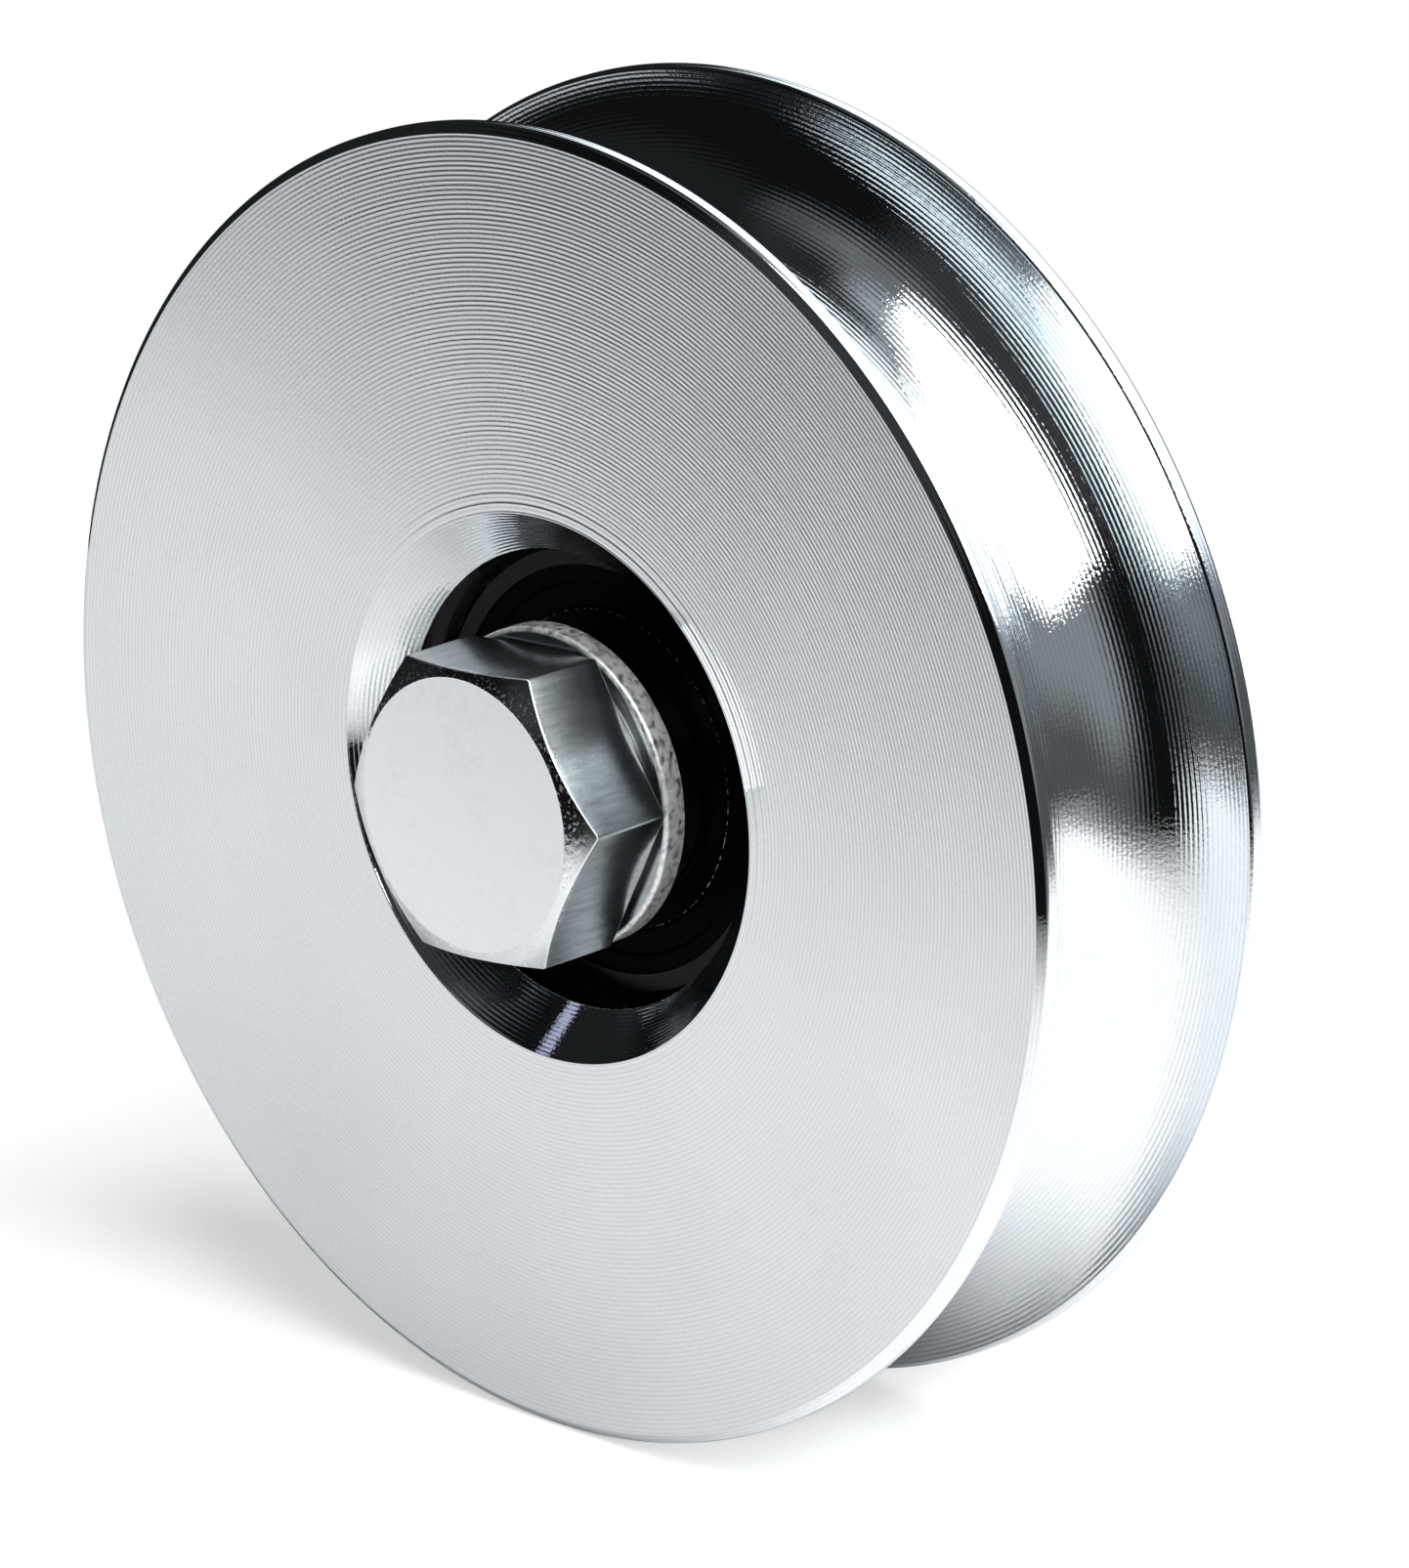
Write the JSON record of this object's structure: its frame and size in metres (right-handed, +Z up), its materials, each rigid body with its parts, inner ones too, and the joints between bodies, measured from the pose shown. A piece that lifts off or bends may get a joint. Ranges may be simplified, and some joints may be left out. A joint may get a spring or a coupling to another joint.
{
  "type": "sliding gate wheel",
  "caption": "Turned steel wheel with a half-round rail groove, on one sealed ball bearing, carried by a hexagon bolt through its centre; rolls a sliding gate along a round rail",
  "frame": {"origin": "the wheel's centre, on the axle and in the middle of the running groove", "axes": "+Y runs along the axle from the bolt's head to its thread, +Z is up, and the rail passes under the wheel along X"},
  "size_m": [0.1, 0.0688, 0.1],
  "materials": {
    "turned_zinc": "bright zinc plate over fine concentric turning lines",
    "bolt_zinc": "satin zinc plate over forged steel",
    "washer_zinc": "bright zinc plate on stamped steel",
    "spacer_zinc": "zinc plate over turned steel",
    "bearing_steel": "ground and polished bearing steel",
    "ball_steel": "mirror polished bearing steel",
    "cage_steel": "pressed steel strip",
    "seal_rubber": "matt black moulded rubber"
  },
  "bodies": {
    "axle": {"axle_bolt": "bolt_zinc", "head_washer": "washer_zinc", "front_spacer": "spacer_zinc", "bearing_inner_ring": "bearing_steel", "rear_spacer": "spacer_zinc", "clamp_nut": "bolt_zinc"},
    "wheel": {"wheel_rim": "turned_zinc", "bearing_outer_ring": "bearing_steel", "front_seal": "seal_rubber", "rear_seal": "seal_rubber"},
    "ball_cage": {"cage_front_half": "cage_steel", "cage_rear_half": "cage_steel", "cage_rivets": "cage_steel"},
    "ball_1": {"ball_1": "ball_steel"},
    "ball_2": {"ball_2": "ball_steel"},
    "ball_3": {"ball_3": "ball_steel"},
    "ball_4": {"ball_4": "ball_steel"},
    "ball_5": {"ball_5": "ball_steel"},
    "ball_6": {"ball_6": "ball_steel"},
    "ball_7": {"ball_7": "ball_steel"},
    "ball_8": {"ball_8": "ball_steel"}
  },
  "joints": [
    {"name": "wheel_spin", "type": "hinge", "parent": "axle", "child": "wheel", "pos_m": [0, 0, 0], "axis": [0, 1, 0], "continuous": true},
    {"name": "cage_spin", "type": "hinge", "parent": "axle", "child": "ball_cage", "pos_m": [0, 0, 0], "axis": [0, 1, 0], "continuous": true},
    {"name": "ball_1_spin", "type": "hinge", "parent": "ball_cage", "child": "ball_1", "pos_m": [0, 0, 0.0125], "axis": [0, 1, 0], "continuous": true},
    {"name": "ball_2_spin", "type": "hinge", "parent": "ball_cage", "child": "ball_2", "pos_m": [0.00884, 0, 0.00884], "axis": [0, 1, 0], "continuous": true},
    {"name": "ball_3_spin", "type": "hinge", "parent": "ball_cage", "child": "ball_3", "pos_m": [0.0125, 0, 0], "axis": [0, 1, 0], "continuous": true},
    {"name": "ball_4_spin", "type": "hinge", "parent": "ball_cage", "child": "ball_4", "pos_m": [0.00884, 0, -0.00884], "axis": [0, 1, 0], "continuous": true},
    {"name": "ball_5_spin", "type": "hinge", "parent": "ball_cage", "child": "ball_5", "pos_m": [0, 0, -0.0125], "axis": [0, 1, 0], "continuous": true},
    {"name": "ball_6_spin", "type": "hinge", "parent": "ball_cage", "child": "ball_6", "pos_m": [-0.00884, 0, -0.00884], "axis": [0, 1, 0], "continuous": true},
    {"name": "ball_7_spin", "type": "hinge", "parent": "ball_cage", "child": "ball_7", "pos_m": [-0.0125, 0, 0], "axis": [0, 1, 0], "continuous": true},
    {"name": "ball_8_spin", "type": "hinge", "parent": "ball_cage", "child": "ball_8", "pos_m": [-0.00884, 0, 0.00884], "axis": [0, 1, 0], "continuous": true}
  ],
  "couplings": [
    {"joint": "cage_spin", "follows": "wheel_spin", "ratio": 0.61906},
    {"joint": "ball_1_spin", "follows": "wheel_spin", "ratio": 1.9807},
    {"joint": "ball_2_spin", "follows": "wheel_spin", "ratio": 1.9807},
    {"joint": "ball_3_spin", "follows": "wheel_spin", "ratio": 1.9807},
    {"joint": "ball_4_spin", "follows": "wheel_spin", "ratio": 1.9807},
    {"joint": "ball_5_spin", "follows": "wheel_spin", "ratio": 1.9807},
    {"joint": "ball_6_spin", "follows": "wheel_spin", "ratio": 1.9807},
    {"joint": "ball_7_spin", "follows": "wheel_spin", "ratio": 1.9807},
    {"joint": "ball_8_spin", "follows": "wheel_spin", "ratio": 1.9807}
  ]
}
